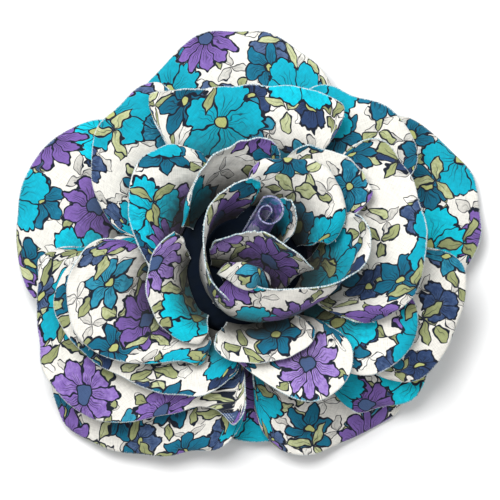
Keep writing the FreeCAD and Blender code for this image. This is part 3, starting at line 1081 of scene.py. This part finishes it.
def core_shade_material():
    """Cloth core under the petals, near black as painted shade for the crevices between the
    petals' feet.
    """
    colours = bpy.context.scene.flower_pin_colours
    made, w, shader = new_material("glued_core")
    place = w.node("ShaderNodeTexCoord").outputs["Object"]
    cloud = w.node("ShaderNodeTexNoise", {"Vector": place, "Scale": 350.0, "Detail": 4.0})
    share = cloud.outputs["Fac"]
    # Painted shade: near-black navy and charcoal, so that the core shows as the shade deep between
    # the petals
    navy = scaled_colour(tuple(colours.navy), 0.12)
    colour = w.mix(share, navy, (0.006, 0.009, 0.011, 1.0))
    w.feed(shader.inputs["Base Color"], colour)
    shader.inputs["Roughness"].default_value = 0.95
    shader.inputs["Specular IOR Level"].default_value = 0.05
    bump = w.node("ShaderNodeBump", {"Strength": 0.6, "Distance": 0.0002, "Height": share})
    w.feed(shader.inputs["Normal"], bump.outputs[0])
    return made


def felt_material():
    """Matted wool felt."""
    colours = bpy.context.scene.flower_pin_colours
    made, w, shader = new_material("wool_felt")
    place = w.node("ShaderNodeTexCoord").outputs["Object"]
    fibres = w.node(
        "ShaderNodeTexNoise",
        {"Vector": place, "Scale": 1400.0, "Detail": 5.0, "Roughness": 0.7, "Distortion": 1.5},
    ).outputs["Fac"]
    clumps = w.node("ShaderNodeTexNoise", {"Vector": place, "Scale": 220.0}).outputs["Fac"]
    share = w.math("MULTIPLY", fibres, clumps)
    felt = tuple(colours.felt)
    dark = scaled_colour(felt, 0.72)
    w.feed(shader.inputs["Base Color"], w.mix(w.step(share, 0.1, 0.4), dark, felt))
    shader.inputs["Roughness"].default_value = 0.95
    shader.inputs["Sheen Weight"].default_value = 0.3
    height = w.math("MULTIPLY_ADD", clumps, 0.6, fibres)
    bump = w.node("ShaderNodeBump", {"Strength": 0.7, "Distance": 0.00015, "Height": height})
    w.feed(shader.inputs["Normal"], bump.outputs[0])
    return made


def metal_material():
    """Brushed plated steel with a few dull spots."""
    colours = bpy.context.scene.flower_pin_colours
    made, w, shader = new_material("brushed_bar")
    place = w.node("ShaderNodeTexCoord").outputs["Object"]
    drawn = w.vector("MULTIPLY", place, (1.0, 30.0, 30.0))
    scratches = w.node("ShaderNodeTexNoise", {"Vector": drawn, "Scale": 150.0, "Detail": 4.0})
    spots = w.node("ShaderNodeTexNoise", {"Vector": place, "Scale": 500.0}).outputs["Fac"]
    metal = tuple(colours.metal)
    dull = scaled_colour(metal, 0.6)
    w.feed(shader.inputs["Base Color"], w.mix(w.step(spots, 0.35, 0.6), dull, metal))
    shader.inputs["Metallic"].default_value = 1.0
    rough = w.math("MULTIPLY_ADD", scratches.outputs["Fac"], 0.25, 0.2)
    w.feed(shader.inputs["Roughness"], rough)
    bump = w.node(
        "ShaderNodeBump",
        {"Strength": 0.3, "Distance": 0.00003, "Height": scratches.outputs["Fac"]},
    )
    w.feed(shader.inputs["Normal"], bump.outputs[0])
    return made


class FLOWERPIN_OT_core(bpy.types.Operator):
    """Make the core of glued cloth that the petals' feet stand on"""

    bl_idname = "flower_pin.core"
    bl_label = "Core"

    def execute(self, context):
        """Make the piece."""
        turn = np.arange(CORE_SIDES) * 2 * math.pi / CORE_SIDES
        rings = []
        for radius, height in core_outline():
            pleats = 0.12 * np.sin(17 * turn + height) + 0.08 * np.sin(29 * turn - 2 * height)
            rings.append((radius - PLEAT_DEPTH + pleats, height + 0 * turn))
        made = ring_solid("core_windings", rings, turn, True)
        # The core's near-black material is painted shade for the crevices
        made.data.materials.append(core_shade_material())
        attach(made, BODY)
        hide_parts("flower_core")
        return {"FINISHED"}


class FLOWERPIN_OT_felt_back(bpy.types.Operator):
    """Make the round felt disc behind the petals"""

    bl_idname = "flower_pin.felt_back"
    bl_label = "Felt back"

    def execute(self, context):
        """Make the piece."""
        turn = np.arange(FELT_SIDES) * 2 * math.pi / FELT_SIDES
        wave = FELT_WAVE * ripple(turn * 10, turn * 0, 9.0, random.Random(FELT_SEED))
        rings = [(FELT_RADIUS - inset + 0 * wave, FELT_TOP + 0 * wave) for inset in FELT_INSETS]
        for step in range(7):
            angle = math.pi / 2 * (1 - step / 3)
            shift = FELT_THICKNESS / 2 - FELT_CORNER
            height = FELT_TOP - FELT_THICKNESS / 2 + FELT_CORNER * math.sin(angle)
            height += shift if step < 3 else (-shift if step > 3 else 0)
            inset = FELT_TRIM + FELT_CORNER * (1 - math.cos(angle))
            rings.append((FELT_RADIUS - inset + wave, height + 0 * wave))
        for inset in reversed(FELT_INSETS):
            rings.append((FELT_RADIUS - inset + 0 * wave, FELT_BOTTOM + 0 * wave))
        made = ring_solid("felt_disc", rings, turn, False)
        made.data.materials.append(felt_material())
        made.data.polygons.foreach_set("use_smooth", [True] * len(made.data.polygons))
        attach(made, BODY)
        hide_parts("felt_back")
        return {"FINISHED"}


class FLOWERPIN_OT_brooch_bar(bpy.types.Operator):
    """Give the brooch bar its brushed metal"""

    bl_idname = "flower_pin.brooch_bar"
    bl_label = "Brooch bar"

    def execute(self, context):
        """Assign the finish."""
        metal = metal_material()
        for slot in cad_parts["brooch_bar"].material_slots:
            slot.material = metal
        return {"FINISHED"}


def soft_light(name, place, size, power):
    """Hang a square soft light that looks at the flower."""
    lamp = bpy.data.lights.new(name, "AREA")
    lamp.size = size
    lamp.energy = power
    made = bpy.data.objects.new(name, lamp)
    made.location = place
    to_flower = -made.location
    made.rotation_euler = to_flower.to_track_quat("-Z", "Y").to_euler()
    bpy.context.scene.collection.objects.link(made)


class FLOWERPIN_OT_stage(bpy.types.Operator):
    """Set the pale floor, the soft lights and the camera"""

    bl_idname = "flower_pin.stage"
    bl_label = "Stage"

    def execute(self, context):
        """Make the stage."""
        scene = context.scene
        half = FLOOR_HALF
        corners = [(-half, -half, 0), (half, -half, 0), (half, half, 0), (-half, half, 0)]
        mesh = bpy.data.meshes.new("floor")
        mesh.from_pydata(corners, [], [(0, 1, 2, 3)])
        floor = bpy.data.objects.new("floor", mesh)
        scene.collection.objects.link(floor)
        paper, w, shader = new_material("white_paper")
        place = w.node("ShaderNodeTexCoord").outputs["Object"]
        grain = w.node("ShaderNodeTexNoise", {"Vector": place, "Scale": 300.0}).outputs["Fac"]
        w.feed(shader.inputs["Base Color"],
               w.mix(grain, (0.93, 0.93, 0.93, 1.0), (0.95, 0.95, 0.95, 1.0)))
        shader.inputs["Roughness"].default_value = 0.9
        mesh.materials.append(paper)
        world = bpy.data.worlds.new("studio")
        world.use_nodes = True
        background = world.node_tree.nodes["Background"]
        background.inputs["Color"].default_value = (1, 1, 1, 1)
        background.inputs["Strength"].default_value = ROOM_LIGHT
        scene.world = world
        for light in LIGHTS:
            soft_light(*light)
        camera_data = bpy.data.cameras.new("camera")
        camera_data.sensor_width = SENSOR_WIDTH
        camera_data.lens = SENSOR_WIDTH * VIEW_HEIGHT / VIEW_WIDTH
        camera_data.clip_end = 10.0
        camera = bpy.data.objects.new("camera", camera_data)
        camera.location = (VIEW_X * MM, VIEW_Y * MM, VIEW_HEIGHT)
        scene.collection.objects.link(camera)
        scene.camera = camera
        scene.view_settings.view_transform = "Standard"
        return {"FINISHED"}


class FLOWERPIN_PT_panel(bpy.types.Panel):
    """Lists the steps that build the flower pin"""

    bl_idname = "FLOWERPIN_PT_panel"
    bl_label = "Flower pin"
    bl_space_type = "VIEW_3D"
    bl_region_type = "UI"
    bl_category = "Flower pin"

    def draw(self, context):
        """Draw the buttons and values."""
        for operator in OPERATORS:
            self.layout.operator(operator.bl_idname)
        for group in (context.scene.flower_pin_sizes, context.scene.flower_pin_colours):
            for name in group.__annotations__:
                self.layout.prop(group, name)


OPERATORS = (
    FLOWERPIN_OT_outer_petals,
    FLOWERPIN_OT_middle_petals,
    FLOWERPIN_OT_cup_petals,
    FLOWERPIN_OT_bud_petals,
    FLOWERPIN_OT_bud_scroll,
    FLOWERPIN_OT_core,
    FLOWERPIN_OT_felt_back,
    FLOWERPIN_OT_brooch_bar,
    FLOWERPIN_OT_stage,
)
CLASSES = (FlowerPinSizes, FlowerPinColours) + OPERATORS + (FLOWERPIN_PT_panel,)


def register():
    """Add the classes and the values."""
    for one in CLASSES:
        bpy.utils.register_class(one)
    bpy.types.Scene.flower_pin_sizes = bpy.props.PointerProperty(type=FlowerPinSizes)
    bpy.types.Scene.flower_pin_colours = bpy.props.PointerProperty(type=FlowerPinColours)


def unregister():
    """Remove the classes and the values."""
    del bpy.types.Scene.flower_pin_colours
    del bpy.types.Scene.flower_pin_sizes
    for one in reversed(CLASSES):
        bpy.utils.unregister_class(one)


def main():
    """Build the flower pin and its stage."""
    register()
    bpy.ops.flower_pin.outer_petals()
    bpy.ops.flower_pin.middle_petals()
    bpy.ops.flower_pin.cup_petals()
    bpy.ops.flower_pin.bud_petals()
    bpy.ops.flower_pin.bud_scroll()
    bpy.ops.flower_pin.core()
    bpy.ops.flower_pin.felt_back()
    bpy.ops.flower_pin.brooch_bar()
    bpy.ops.flower_pin.stage()


if __name__ == "__main__":
    main()
